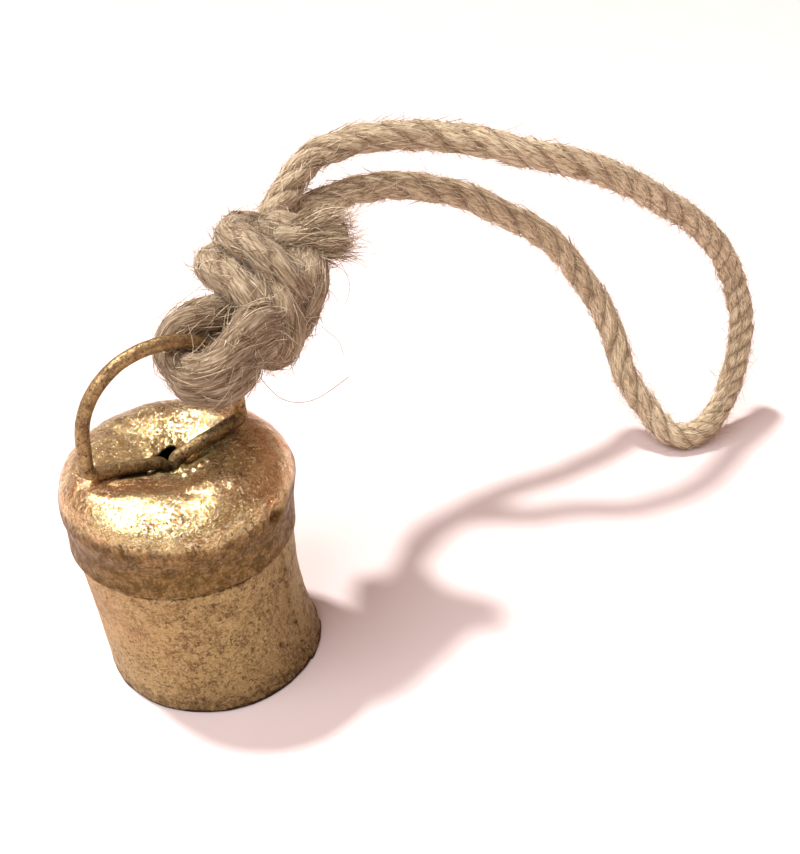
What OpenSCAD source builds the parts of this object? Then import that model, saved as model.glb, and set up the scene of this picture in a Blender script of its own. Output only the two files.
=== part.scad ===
// Small hammered bell: rolled body, domed cap, bent wire bail, wire-hung clapper, knotted jute loop.
// Origin: on the floor, under the middle of the bell. +Z up, +Y away from the front.

/* [Body] */
// Outside diameter of the mouth
mouth_d = 44; // [40:1:50]
// Outside diameter of the body where the cap slips over it
neck_d = 42.4; // [40:0.2:44]
// Height from the mouth to the cap's lower edge
body_h = 31; // [27:1:36]
// How far the cap stands to the left of the mouth's middle
lean = 4; // [0:0.5:5]
// Thickness of the iron sheet
sheet_t = 0.7; // [0.6:0.1:0.9]
// How far the upright lap seam stands out
lap_t = 0.4; // [0.2:0.1:0.5]

/* [Cap] */
// Diameter of the cap at its widest, above the skirt
dome_d = 45; // [44:0.5:47]
// Height of the straight skirt
skirt_h = 5.5; // [5:0.5:7]
// Rise from the skirt to the widest ring
bulge_h = 4.4; // [3:0.2:6]
// Rise from the widest ring to the crown, before it is dished
crown_h = 12.1; // [11:0.1:14]
// Depth that the crown is beaten in round the hole
dish_depth = 6.8; // [5:0.2:7]
// Width of the punched slot that the bail's ends go through
hole_w = 5.8; // [5.8:0.2:7]
// Length of the slot
hole_l = 9; // [9:0.2:10]

/* [Bail] */
// Diameter of the bail wire
wire_d = 2.3; // [2:0.1:2.4]
// Middle radius of the bail's arch
arch_r = 14.5; // [12:0.5:16]
// Height of the arch's centre
arch_z = 57.6; // [55:0.2:62]
// Height of the feet on the cap
foot_z = 50.9; // [50.5:0.1:52]
// Turn of the bail about the bell's axis
bail_turn = 36.6; // [0:0.2:60]

/* [Clapper] */
// Diameter of the clapper's bob
bob_d = 9.6; // [8:0.2:10]
// Height of the bob's middle above the mouth
bob_z = 10; // [8:0.5:13]
// Diameter of the clapper's rod
rod_d = 1.8; // [1.4:0.1:2]

/* [Rope] */
// Diameter of the jute rope
rope_d = 6.4; // [6:0.2:6.8]

/* [Hidden] */
$fn = 64;

brass = [0.72, 0.58, 0.34];
dull_brass = [0.62, 0.50, 0.32];
iron = [0.36, 0.30, 0.26];
jute = [0.72, 0.60, 0.47];

// The widest points of the cap and of the mouth are level about the origin.
mouth_x = (lean + (dome_d - mouth_d) / 2) / 2;
cap_x = mouth_x - lean;
neck_r = neck_d / 2;
lap_from = -16;
lap_to = 12;
lap_fade = 3;
neck_top = body_h + 4.8;
body_segments = 60;
waist = 0.35;
flare_power = 2.6;

// Cap outline
skirt_gap = 0.05;
skirt_ri = neck_r + skirt_gap;
skirt_ro = skirt_ri + sheet_t;
dome_r = dome_d / 2;
skirt_z = body_h + skirt_h;
widest_z = skirt_z + bulge_h;
crown_power = 2.3;
dish_r = 13.2;
crown_steps = 16;
bulge_steps = 4;
hole_at = [-2.9, 0.3];

// Bail, drawn in its own upright plane: [along, up]
bail_at = [-2.5, -2];
wire_r = wire_d / 2;
foot_x = arch_r + 1.2;
end_x = wire_r + 0.1;
run_z = 47.4;
tuck_z = 44;
tuck_x = 8;
foot_bend = 1.6;
end_bend = 1.5;
wire_sides = 12;
eye_r = 2.6;
eye_z = 36;
eye_sweep = 300;

// Clapper's chain of rings, hung with a small running gap
run_gap = 0.05;
link_wire_r = 0.8;
link_r = 3;
rod_r = rod_d / 2;
rod_eye_r = 2.5;
eye_x = eye_r - end_x;
pivot_z = eye_z - eye_r;
link_z = pivot_z + wire_r + link_wire_r + run_gap - link_r;
link_pivot_z = link_z - link_r;
rod_eye_z = link_pivot_z + link_wire_r + rod_r + run_gap - rod_eye_r;
washer_t = 0.6;
washer_z = bob_z - bob_d / 2 - washer_t + 0.3;
rod_end_z = washer_z - 0.5;

// Rope turn on the arch
rope_r = rope_d / 2;
turn_angle = 36;
turn_r = 5.4;
turn_pitch = rope_d + 0.2;

// The rope's route from the knot, out along the upper strand, down to the floor and back.
route = [
    [14, 41, 77], [17, 50, 80], [22, 58, 84], [32, 60, 87], [40, 60, 88], [49, 62, 87],
    [58, 62, 86], [66, 62, 84], [76, 65, 81], [86, 69, 77], [97, 76, 70], [106, 83, 63],
    [114, 88, 57], [122, 92, 49], [127, 94, 42], [131, 94, 34], [133, 91, 26], [132, 86, 18],
    [129, 80, 10], [124, 74, 5], [117, 70, 3.5], [111, 70, 6], [106, 73, 11], [100, 76, 19],
    [97, 80, 27], [93, 83, 35], [87, 84, 43], [80, 82, 52], [72, 79, 59], [64, 76, 64],
    [56, 73, 69], [48, 70, 72], [40, 67, 74], [32, 62, 75], [25, 56, 75], [19, 50, 74],
    [17, 42, 70],
];
rope_sides = 10;
steps_per_span = 2;

// ---- body shell ----

// Share of the way from the neck, 0, to the mouth, 1
function down(z) = z >= body_h ? 0 : 1 - z / body_h;
function left_x(z) =
    cap_x - neck_r + (mouth_x - mouth_d / 2 - cap_x + neck_r) * down(z) + waist * sin(180 * down(z));
function right_x(z) =
    cap_x + neck_r + (mouth_x + mouth_d / 2 - cap_x - neck_r) * pow(down(z), flare_power);
function depth_r(z) = neck_r + (mouth_d / 2 - neck_r) * pow(down(z), 2);

// The lap fades out below the skirt, so that the skirt slips over a round neck.
function lap_at(a, z) =
    (a >= lap_from && a <= lap_to) ? lap_t * min(1, max(0, (body_h - 0.6 - z) / lap_fade)) : 0;
function wrap(a) = a > 180 ? a - 360 : a;
function body_ring(z, inset) = [
    for (i = [0:body_segments - 1])
        let (
            a = wrap(360 * i / body_segments),
            out = inset > 0 ? -inset : lap_at(a, z),
            mid = (left_x(z) + right_x(z)) / 2,
            half = (right_x(z) - left_x(z)) / 2
        )
        [mid + (half + out) * cos(a), (depth_r(z) + out) * sin(a), z]
];

module body_shell() {
    up = [0, 2, 5, 9, 14, 21, body_h - 3.6, body_h - 0.6, neck_top];
    n = len(up);
    rings = concat(
        [for (z = up) body_ring(z, 0)],
        [for (i = [n - 1:-1:0]) body_ring(up[i], sheet_t)]
    );
    color(dull_brass) closed_sweep(rings);
}

// One closed skin through rings of equal count, the last ring joined to the first
module closed_sweep(rings) {
    rows = len(rings);
    n = len(rings[0]);
    points = [for (ring = rings) for (p = ring) p];
    faces = [
        for (r = [0:rows - 1]) for (i = [0:n - 1])
            let (a = r * n + i, b = r * n + (i + 1) % n, up = ((r + 1) % rows) * n)
            each [[a, up + (i + 1) % n, b], [a, up + i, up + (i + 1) % n]]
    ];
    polyhedron(points, faces);
}

// ---- cap ----

function dish(r) = dish_depth * exp(-pow(r / dish_r, 2));
function crown(a) =
    let (r = dome_r * pow(cos(a), 2 / crown_power))
    [r, widest_z + crown_h * pow(sin(a), 2 / crown_power) - dish(r)];
cap_outside = concat(
    [[skirt_ro, body_h], [skirt_ro, skirt_z]],
    [for (i = [1:bulge_steps - 1])
        let (t = i / bulge_steps)
        [skirt_ro + (dome_r - skirt_ro) * sin(90 * t), skirt_z + bulge_h * t]],
    [for (i = [0:crown_steps - 1]) crown(90 * i / crown_steps)],
    [[0, widest_z + crown_h - dish_depth]]
);

// The inside follows the outside at the sheet's thickness, along each point's own normal.
function unit(v) = v / norm(v);
function inside(points) = [
    for (i = [0:len(points) - 1])
        let (
            before = points[max(i - 1, 0)],
            after = points[min(i + 1, len(points) - 1)],
            along = i <= 1 ? [0, 1] : (i == len(points) - 1 ? [-1, 0] : unit(after - before))
        )
        points[i] + sheet_t * [-along[1], along[0]]
];
function reversed(points) = [for (i = [len(points) - 1:-1:0]) points[i]];

// An upright cutter with round ends, long in Y
module slot(width, length, height) {
    apart = length - width;
    for (side = [-0.5, 0.5])
        translate([0, side * apart, 0]) cylinder(d = width, h = height);
    translate([-width / 2, -apart / 2, 0]) cube([width, apart, height]);
}

module cap() {
    color(brass) difference() {
        translate([cap_x, 0, 0])
            rotate_extrude($fn = 96)
                polygon(concat(cap_outside, reversed(inside(cap_outside))));
        translate([hole_at[0], hole_at[1], widest_z])
            slot(hole_w, hole_l, crown_h + 5);
    }
}

module seam_braze() {
    bead = 0.5;
    color(dull_brass)
        translate([cap_x, 0, 0])
            rotate_extrude($fn = 96)
                polygon([
                    [neck_r + 0.01, body_h], [neck_r + 0.01, body_h - 0.5],
                    [neck_r + bead, body_h - 0.15], [neck_r + bead + 0.1, body_h],
                ]);
}

// ---- bail ----

// Puts a shape drawn in [along, up] into the bail's upright plane.
module in_bail_plane() {
    translate([bail_at[0], bail_at[1], 0])
        rotate([0, 0, bail_turn])
            rotate([90, 0, 0])
                children();
}

// Points along a wire bent in a plane: each corner is rounded by its own radius.
function unit_turn(a, b, c) =
    let (u = b - a, v = c - b)
    atan2(u[0] * v[1] - u[1] * v[0], u * v);
function corner(a, b, c, bend, steps) =
    let (
        u = unit(b - a),
        turn = unit_turn(a, b, c),
        side = turn > 0 ? 1 : -1,
        start = b - u * bend * tan(abs(turn) / 2),
        centre = start + side * bend * [-u[1], u[0]],
        from = atan2(start[1] - centre[1], start[0] - centre[0])
    )
    [for (k = [0:steps]) centre + bend * [cos(from + turn * k / steps), sin(from + turn * k / steps)]];
function bent(points, bends) = concat(
    [points[0]],
    [for (i = [1:len(points) - 2])
        let (steps = bends[i] > 5 ? 8 : 4)
        each corner(points[i - 1], points[i], points[i + 1], bends[i], steps)],
    [points[len(points) - 1]]
);

module bail() {
    eye = [for (a = [180 + eye_sweep:-20:190]) [eye_x + eye_r * cos(a), eye_z + eye_r * sin(a)]];
    corners = [
        [-end_x, eye_z], [-end_x, run_z], [-foot_x, foot_z], [-arch_r, arch_z + arch_r],
        [arch_r, arch_z + arch_r], [foot_x, foot_z], [end_x, run_z], [end_x, tuck_z], [tuck_x, tuck_z],
    ];
    bends = [0, end_bend, foot_bend, arch_r, arch_r, foot_bend, end_bend, end_bend, 0];
    path = concat(eye, bent(corners, bends));
    color(dull_brass) in_bail_plane()
        tube([for (p = path) [p[0], p[1], 0]], wire_r, wire_sides, [0, 0, 1]);
}

// Two beads of filler metal where the bail's runs cross the rim of the hole
module bail_braze() {
    bead_r = 1.5;
    color(brass) in_bail_plane()
        for (side = [-1, 1])
            translate([side * 4.4, run_z - 0.4, 0])
                sphere(r = bead_r, $fn = 32);
}

// ---- clapper ----

// A ring in the upright plane across the bail
module cross_ring(r, wire, z) {
    in_bail_plane()
        translate([eye_x, z, 0])
            rotate([0, 90, 0])
                rotate_extrude()
                    translate([r, 0])
                        circle(r = wire);
}

module hanger_link() {
    color(iron) cross_ring(link_r, link_wire_r, link_z);
}

module clapper_rod() {
    color(iron) in_bail_plane() translate([eye_x, 0, 0]) {
        translate([0, rod_eye_z, 0])
            rotate_extrude()
                translate([rod_eye_r, 0])
                    circle(r = rod_r);
        translate([0, rod_end_z, 0])
            rotate([-90, 0, 0])
                cylinder(r = rod_r, h = rod_eye_z - rod_eye_r - rod_end_z);
    }
}

module clapper_bob() {
    flat = 0.3;
    color(iron) in_bail_plane() translate([eye_x, bob_z, 0]) rotate([-90, 0, 0])
        difference() {
            intersection() {
                sphere(d = bob_d);
                cylinder(d = bob_d, h = bob_d - 2 * flat, center = true);
            }
            cylinder(r = rod_r + 0.02, h = bob_d + 1, center = true);
        }
}

module bob_washer() {
    color(iron) in_bail_plane() translate([eye_x, washer_z, 0]) rotate([-90, 0, 0])
        difference() {
            cylinder(r = 2.2, h = washer_t - 0.02);
            translate([0, 0, -1]) cylinder(r = rod_r + 0.02, h = washer_t + 2);
        }
}

// ---- rope ----

// Two strands side by side round the bail's arch
module rope_turn() {
    step = 2 * asin(turn_pitch / 2 / arch_r);
    color(jute) in_bail_plane() translate([0, arch_z, 0])
        for (side = [-0.5, 0.5])
            rotate([0, 0, turn_angle + side * step])
                translate([arch_r, 0, 0])
                    rotate([90, 0, 0])
                        rotate_extrude()
                            translate([turn_r, 0])
                                circle(r = rope_r);
}

module rope_knot() {
    lumps = [[13, 11, 70, 6.5], [14, 17, 72, 10.5], [15, 25, 74, 11.5], [16, 33, 76, 9.5]];
    color(jute) hull()
        for (b = lumps)
            translate([b[0], b[1], b[2]])
                sphere(r = b[3], $fn = 28);
}

module rope_tail() {
    color(jute) hull() {
        translate([22, 26, 77]) sphere(r = rope_r, $fn = 20);
        translate([30, 32, 79]) sphere(r = rope_r - 0.4, $fn = 20);
    }
}

// Catmull-Rom point on span i of a list of points, at t from 0 to 1
function pick(points, i) = points[min(max(i, 0), len(points) - 1)];
function spline(points, i, t) =
    let (a = pick(points, i - 1), b = points[i], c = pick(points, i + 1), d = pick(points, i + 2))
    0.5 * (2 * b + (c - a) * t + (2 * a - 5 * b + 4 * c - d) * t * t
        + (3 * b - a - 3 * c + d) * t * t * t);
function smooth(points, steps) = concat(
    [for (i = [0:len(points) - 2]) for (k = [0:steps - 1]) spline(points, i, k / steps)],
    [points[len(points) - 1]]
);

// The tube's sides hold to one steady direction across its path, so that it never twists.
function tube_ring(at, along, r, sides, steady) =
    let (across = unit(cross(along, steady)), over = cross(across, along))
    [for (k = [0:sides - 1])
        at + r * (cos(360 * k / sides) * across + sin(360 * k / sides) * over)];

module tube(points, r, sides, steady) {
    last = len(points) - 1;
    rings = [
        for (i = [0:last])
            tube_ring(points[i], unit(points[min(i + 1, last)] - points[max(i - 1, 0)]), r, sides, steady)
    ];
    skin = [for (ring = rings) for (p = ring) p];
    walls = [
        for (i = [0:last - 1]) for (k = [0:sides - 1])
            let (a = i * sides + k, b = i * sides + (k + 1) % sides)
            each [[a, b, b + sides], [a, b + sides, a + sides]]
    ];
    ends = [
        [for (k = [sides - 1:-1:0]) k],
        [for (k = [0:sides - 1]) last * sides + k],
    ];
    polyhedron(skin, concat(walls, ends));
}

module rope_loop() {
    color(jute) tube(smooth(route, steps_per_span), rope_r, rope_sides, [-0.35, 0.94, 0]);
}

body_shell();
cap();
seam_braze();
bail();
bail_braze();
hanger_link();
clapper_rod();
clapper_bob();
bob_washer();
rope_turn();
rope_knot();
rope_tail();
rope_loop();
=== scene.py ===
"""Looks of a small hammered bell with a wire bail and a knotted jute loop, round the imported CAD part."""

import math

import bpy
import numpy as np
from mathutils import Matrix, Vector


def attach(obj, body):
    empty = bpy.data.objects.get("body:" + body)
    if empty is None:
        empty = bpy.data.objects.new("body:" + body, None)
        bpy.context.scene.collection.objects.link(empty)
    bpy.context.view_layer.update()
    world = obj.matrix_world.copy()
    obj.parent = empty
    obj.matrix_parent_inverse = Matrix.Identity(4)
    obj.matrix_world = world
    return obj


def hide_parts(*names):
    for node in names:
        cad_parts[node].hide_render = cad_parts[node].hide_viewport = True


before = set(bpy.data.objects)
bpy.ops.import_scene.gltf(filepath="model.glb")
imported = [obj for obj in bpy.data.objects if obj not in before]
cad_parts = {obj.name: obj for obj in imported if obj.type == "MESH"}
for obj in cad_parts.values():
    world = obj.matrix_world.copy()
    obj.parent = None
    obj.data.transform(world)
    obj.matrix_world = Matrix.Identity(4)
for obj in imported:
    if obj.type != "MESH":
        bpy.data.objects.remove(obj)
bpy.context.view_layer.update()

MM = 0.001
TURN = 2 * math.pi
Z = np.array([0.0, 0.0, 1.0])
THIRDS = (0, TURN / 3, -TURN / 3)


# ---- sizes and places, the same as in the CAD source, in millimetres ----

# The rolled body, which leans a little to the right, with the lap of its sheet.
MOUTH_D, NECK_D, BODY_H, LEAN, SHEET_T, LAP_T = 44.0, 42.4, 31.0, 4.0, 0.7, 0.4
LAP_FROM, LAP_TO = -20.0, -19.0

# The cap: a skirt, a shoulder that bulges, a dished crown, and a punched hole with curled edges.
DOME_D, SKIRT_H, BULGE_H, CROWN_H, DISH_DEPTH, DISH_R = 45.0, 5.5, 4.4, 12.1, 6.8, 13.2
CROWN_POWER, CROWN_INNER_R = 2.3, 9.0
HOLE_R, HOLE_LONG, HOLE_AT = 2.9, 4.5, (-2.9, 0.3)
CURL_X, CURL_Y = 0.28, 0.20
MOUTH_X = (LEAN + (DOME_D - MOUTH_D) / 2) / 2
CAP_X = MOUTH_X - LEAN
NECK_R = NECK_D / 2
NECK_TOP = BODY_H + 4.8
SKIRT_RI = NECK_R + 0.05
SKIRT_RO = SKIRT_RI + SHEET_T
DOME_R = DOME_D / 2
SKIRT_Z = BODY_H + SKIRT_H
WIDEST_Z = SKIRT_Z + BULGE_H

# The bail stands in an upright plane, and its two ends go down through the hole.
BAIL_AT = np.array([-2.5, -2.0, 0.0])
BAIL_TURN = math.radians(36.6)
ALONG = np.array([math.cos(BAIL_TURN), math.sin(BAIL_TURN), 0.0])
ACROSS = np.array([math.sin(BAIL_TURN), -math.cos(BAIL_TURN), 0.0])
ARCH_R, ARCH_Z, FOOT_Z, RUN_Z, TUCK_Z = 14.5, 57.6, 50.9, 47.4, 44.0
WIRE_R, FOOT_X, END_X, TUCK_X = 1.15, 15.7, 1.25, 8.0
EYE_R, EYE_Z = 2.6, 36.0
EYE_X = EYE_R - END_X

# The link and the clapper hang from the bail's eye.
LINK_R, LINK_WIRE_R, LINK_Z = 3.0, 0.8, 32.4
ROD_R, ROD_EYE_R, ROD_EYE_Z = 0.9, 2.5, 28.65
BOB_Z, BOB_R = 10.0, 4.8
WASHER_Z, WASHER_T, WASHER_R, ROD_END_Z = 4.9, 0.6, 2.2, 4.4

# The free loop, from the knot out to the floor and back.
ROPE_D = 6.4
LOOP_ROUTE = [
    [14, 41, 77], [17, 50, 80], [22, 58, 84], [32, 60, 87], [40, 60, 88], [49, 62, 87],
    [58, 62, 86], [66, 62, 84], [76, 65, 81], [86, 69, 77], [97, 76, 70], [106, 83, 63],
    [114, 88, 57], [122, 92, 49], [127, 94, 42], [131, 94, 34], [133, 91, 26], [132, 86, 18],
    [129, 80, 10], [124, 74, 5], [117, 70, 3.5], [111, 70, 6], [106, 73, 11], [100, 76, 19],
    [97, 80, 27], [93, 83, 35], [87, 84, 43], [80, 82, 52], [72, 79, 59], [64, 76, 64],
    [56, 73, 69], [48, 70, 72], [40, 67, 74], [32, 62, 75], [25, 56, 75], [19, 50, 74],
    [17, 42, 70],
]
ROOT_HIGH, ROOT_LOW = [12.5, 33, 74.5], [15.5, 34, 69.5]

# The strands of the turn round the bail and of the knot; a closed strand runs back to its start.
TURN_LEFT = [
    [12, 18, 70], [8.5, 12.5, 71.5], [4, 7.5, 72.5], [0.5, 5, 71], [-0.5, 2.5, 67.5], [2, 0, 66],
    [6, -1.5, 67], [9.5, -0.5, 69], [12, 2.5, 71], [14, 5, 73], [17, 9.5, 73],
]
TURN_MIDDLE = [
    [13, 18, 67], [9, 13, 67], [6, 9.5, 66.5], [3, 6.5, 66], [1.5, 3, 64.5], [3, 0, 63],
    [6.5, -1, 63.5], [10, 0, 65.5], [13, 3, 68], [17, 8, 70],
]
TURN_RIGHT = [
    [15.5, 20, 64], [14.5, 15, 62.5], [9, 12, 61.5], [5.5, 10.5, 60], [4, 6, 59.5], [6, 2.5, 60],
    [9, 1, 62], [12, 2, 65], [13, 4.5, 68], [14.5, 5, 71], [17.5, 9.5, 70],
]
WRAP_TOP = [
    [11.5, 34.5, 77.5], [9, 30.5, 79.5], [8.5, 24.5, 81], [10.5, 20.5, 81.8], [13.5, 17.5, 81.5],
    [16.5, 15.5, 79.8], [19.5, 14.5, 77], [21.5, 17.5, 73], [21, 26.5, 69.5], [17.5, 32.5, 70.5],
    [14, 35.5, 74],
]
WRAP_MIDDLE = [
    [6, 30, 74], [4.6, 24.5, 75], [5.4, 19.5, 76.6], [7.8, 15, 77.6], [10.8, 12, 77], [13.5, 9.8, 75.2],
    [15.8, 8.3, 72], [16.8, 9, 67.5], [16.2, 13.5, 63], [13.5, 20, 62], [10, 26.5, 65], [7.2, 30, 69.5],
]
WRAP_INNER = [
    [14.5, 20, 76], [16.5, 14.5, 75.5], [18.3, 12, 74], [19.6, 10.3, 70.5], [19.6, 10.3, 67],
    [17.6, 13.3, 62.5], [15, 17, 60.2], [14, 23, 63],
]
WRAP_SIDE = [
    [20, 29.5, 78.2], [22.5, 24, 78], [23.7, 20, 76], [23.7, 18, 73.5], [22.4, 17, 69.8],
    [20.4, 16.2, 66.5], [18.6, 17.5, 63], [16.5, 22.5, 61.5],
]
BRIDGE = [[11, 35.5, 74.5], [14, 32.5, 78], [17, 30, 80], [20.5, 28, 80.5], [23.5, 27, 79], [25, 26, 76]]
TAIL = [[17, 27, 77.5], [20.5, 25.5, 79.5], [24, 25, 80.6], [27.5, 24.5, 81.2], [30.5, 24, 82]]
KNOT_D, TAIL_D = 6.9, 7.8
KNOT_LOW, KNOT_HIGH = np.array([12.0, 13.0, 67.5]), np.array([14.5, 31.0, 75.0])


def placed(name, data):
    """A new object in the scene."""
    made = bpy.data.objects.new(name, data)
    bpy.context.scene.collection.objects.link(made)
    return made


# ---- camera ----

CAMERA_AT = (0.0393, -0.1634, 0.1674)
CAMERA_DOWN, CAMERA_ROLL = 35.33, 0.554
LENS_MM, SENSOR_MM = 45.25, 36
SHIFT = (0.0090, 0.0132)


def make_camera():
    """Looks down at the bell from the front, a little rolled."""
    data = bpy.data.cameras.new("camera")
    data.lens, data.sensor_width = LENS_MM, SENSOR_MM
    data.shift_x, data.shift_y = SHIFT
    data.clip_start, data.clip_end = 0.01, 20
    camera = placed("camera", data)
    tilt = Matrix.Rotation(math.radians(90 - CAMERA_DOWN), 4, "X")
    roll = Matrix.Rotation(math.radians(CAMERA_ROLL), 4, "Z")
    camera.matrix_world = Matrix.Translation(CAMERA_AT) @ tilt @ roll
    bpy.context.scene.camera = camera


# ---- numeric helpers ----

def lattice(cell, seed):
    """A steady random number from -1 to 1 for each whole-number cell."""
    c = cell.astype(np.int64)
    h = c[..., 0] * 73856093 ^ c[..., 1] * 19349663 ^ c[..., 2] * 83492791 ^ (seed * 2654435761)
    h &= 0xFFFFFFFF
    h = ((h ^ (h >> 13)) * 1274126177) & 0xFFFFFFFF
    h ^= h >> 16
    return (h & 0xFFFF) / 32767.5 - 1


def noise(points, size, seed=0):
    """Smooth noise from -1 to 1, with features about size across."""
    p = np.asarray(points, float) / size
    low = np.floor(p)
    f = p - low
    f = f * f * f * (f * (6 * f - 15) + 10)
    total = 0
    for dx in (0, 1):
        for dy in (0, 1):
            for dz in (0, 1):
                w = (f[..., 0] if dx else 1 - f[..., 0]) * (f[..., 1] if dy else 1 - f[..., 1])
                w = w * (f[..., 2] if dz else 1 - f[..., 2])
                total = total + w * lattice(low + [dx, dy, dz], seed)
    return total


def rough(points, size, seed=0, octaves=3):
    """Layered noise from about -1 to 1."""
    total, weight = 0, 1.0
    for k in range(octaves):
        total = total + weight * noise(points, size / 2 ** k, seed + 17 * k)
        weight *= 0.5
    return total / (2 - 2 ** (1 - octaves))


def unit(v):
    """The same direction, one long."""
    return v / np.maximum(np.linalg.norm(v, axis=-1, keepdims=True), 1e-12)


def ramp(x, a, b):
    """0 below a, 1 above b, smooth between."""
    t = np.clip((np.asarray(x, float) - a) / (b - a), 0, 1)
    return t * t * (3 - 2 * t)


def circle(n):
    """The angles of n points round a circle, as one row."""
    return (TURN * np.arange(n) / n)[None]


def outwards(a):
    """Level directions at these angles."""
    return np.stack([np.cos(a), np.sin(a), 0 * a], -1)


def lengths(points):
    """How far along the path each point lies."""
    return np.concatenate([[0], np.cumsum(np.linalg.norm(np.diff(points, axis=0), axis=1))])


def spread_evenly(points, step):
    """The same path with a point about every step."""
    s = lengths(points)
    even = np.linspace(0, s[-1], max(4, round(s[-1] / step)) + 1)
    return np.stack([np.interp(even, s, points[:, k]) for k in range(3)], 1)


def spline(points, step, closed=False):
    """Points every step along a Catmull-Rom curve through the given points."""
    p = np.array(points, float)
    n = len(p)
    spans = n if closed else n - 1

    def at(i):
        return p[i % n] if closed else p[min(max(i, 0), n - 1)]

    fine = []
    for i in range(spans):
        a, b, c, d = at(i - 1), at(i), at(i + 1), at(i + 2)
        for t in np.arange(16) / 16:
            fine.append(0.5 * (2 * b + (c - a) * t + (2 * a - 5 * b + 4 * c - d) * t ** 2
                               + (3 * b - a - 3 * c + d) * t ** 3))
    fine.append(at(spans))
    return spread_evenly(np.array(fine), step)


class Line:
    """A path with a steady pair of directions across it."""

    def __init__(self, points, closed=False):
        self.p = points
        self.closed = closed
        if closed:
            ahead, behind = np.roll(points[:-1], -1, 0), np.roll(points[:-1], 1, 0)
            t = unit(ahead - behind)
            self.t = np.vstack([t, t[:1]])
        else:
            self.t = unit(np.gradient(points, axis=0))
        across = np.zeros_like(points)
        start = np.cross(self.t[0], Z)
        if np.linalg.norm(start) < 0.2:
            start = np.cross(self.t[0], [0, 1, 0])
        across[0] = unit(start)
        for i in range(1, len(points)):
            v = across[i - 1] - self.t[i] * (across[i - 1] @ self.t[i])
            across[i] = unit(v)
        self.a = across
        self.b = np.cross(self.t, across)
        self.s = lengths(points)
        self.length = self.s[-1]
        if closed:
            self.untwist()

    def untwist(self):
        """Spreads a closed path's leftover turn evenly, so that its ends meet."""
        end = math.atan2(self.a[-1] @ self.b[0], self.a[-1] @ self.a[0])
        turn = -end * self.s / self.length
        c, s = np.cos(turn)[:, None], np.sin(turn)[:, None]
        self.a, self.b = self.a * c + self.b * s, self.b * c - self.a * s

    def at(self, s, angle, r):
        """Points at arc length s, at an angle round the path and a distance r from it."""
        i = np.clip(np.searchsorted(self.s, s) - 1, 0, len(self.s) - 2)
        f = ((s - self.s[i]) / (self.s[i + 1] - self.s[i]))[..., None]
        p = self.p[i] * (1 - f) + self.p[i + 1] * f
        a = self.a[i] * (1 - f) + self.a[i + 1] * f
        b = self.b[i] * (1 - f) + self.b[i + 1] * f
        c, d = np.cos(angle)[..., None], np.sin(angle)[..., None]
        return p + np.asarray(r)[..., None] * (a * c + b * d)


# ---- meshes ----

def mesh_object(name, points, faces):
    """A smooth-shaded object from points in millimetres."""
    mesh = bpy.data.meshes.new(name)
    mesh.from_pydata((np.asarray(points) * MM).tolist(), [], faces)
    mesh.update()
    mesh.validate()
    mesh.shade_smooth()
    return placed(name, mesh)


def grid_faces(rows, n, close_rows=False, wrap=True):
    """Quads between rows of n points. Each row can wrap round, and so can the rows."""
    faces = []
    last = rows if close_rows else rows - 1
    columns = n if wrap else n - 1
    for r in range(last):
        a, b = r * n, ((r + 1) % rows) * n
        for i in range(columns):
            j = (i + 1) % n
            faces.append((a + i, a + j, b + j, b + i))
    return faces


def tube_faces(rows, sides, closed=False):
    """A tube's quads, with a face on each end unless it closes on itself."""
    faces = grid_faces(rows, sides, close_rows=closed)
    if not closed:
        faces.append(tuple(range(sides))[::-1])
        faces.append(tuple((rows - 1) * sides + k for k in range(sides)))
    return faces


def paint(obj, name, values):
    """A number for each point, or one for all, which the material reads."""
    layer = obj.data.attributes.new(name, "FLOAT", "POINT")
    each = np.broadcast_to(np.ravel(values), len(layer.data))
    layer.data.foreach_set("value", each.astype(np.float32))


def lay_uv(obj, uv):
    """UVs from one pair for each point."""
    layer = obj.data.uv_layers.new(name="UVMap")
    index = np.zeros(len(obj.data.loops), np.int64)
    obj.data.loops.foreach_get("vertex_index", index)
    layer.data.foreach_set("uv", np.asarray(uv, np.float32)[index].ravel())


def finished(obj, body, slot, material, *nodes):
    """Gives a piece its material and its body, and hides the CAD nodes that it stands for; the finish slot
    is not used.
    """
    obj.data.materials.append(material)
    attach(obj, body)
    if nodes:
        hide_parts(*nodes)
    return obj


def bead_tube(line, r, sides, wobble=0.0, size=2.0, seed=0, flatten=None):
    """Points of a round wire along a line, slightly uneven, with closed domed ends."""
    count = len(line.p)
    rr = np.ones(count) * r
    if not line.closed:
        ends = np.minimum(line.s, line.length - line.s)
        rr = r * np.sqrt(np.clip(1 - (1 - np.clip(ends / r, 0, 1)) ** 2, 0.0004, 1))
    s = np.repeat(line.s[:, None], sides, 1)
    a = np.repeat(circle(sides), count, 0)
    radius = np.repeat(rr[:, None], sides, 1)
    if flatten is not None:
        radius = radius * flatten(s, a)
    centre = line.at(s, a, radius * 0.9)
    radius = radius * (1 + wobble * rough(centre, size, seed))
    rings = line.at(s, a, radius)
    if line.closed:
        rings = rings[:-1]
    return rings


def joined(name, parts):
    """One object from several equal-sided tubes or lumps, each given as rows of points."""
    faces, base = [], 0
    for p in parts:
        faces += [tuple(v + base for v in f) for f in grid_faces(*p.shape[:2])]
        base += p.shape[0] * p.shape[1]
    return mesh_object(name, np.concatenate([p.reshape(-1, 3) for p in parts]), faces)


def wire_object(name, line, r, sides, **ways):
    """A wire along a line, as an object."""
    rings = bead_tube(line, r, sides, **ways)
    return mesh_object(name, rings.reshape(-1, 3), tube_faces(len(rings), sides, line.closed))


# ---- rope ----

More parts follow.
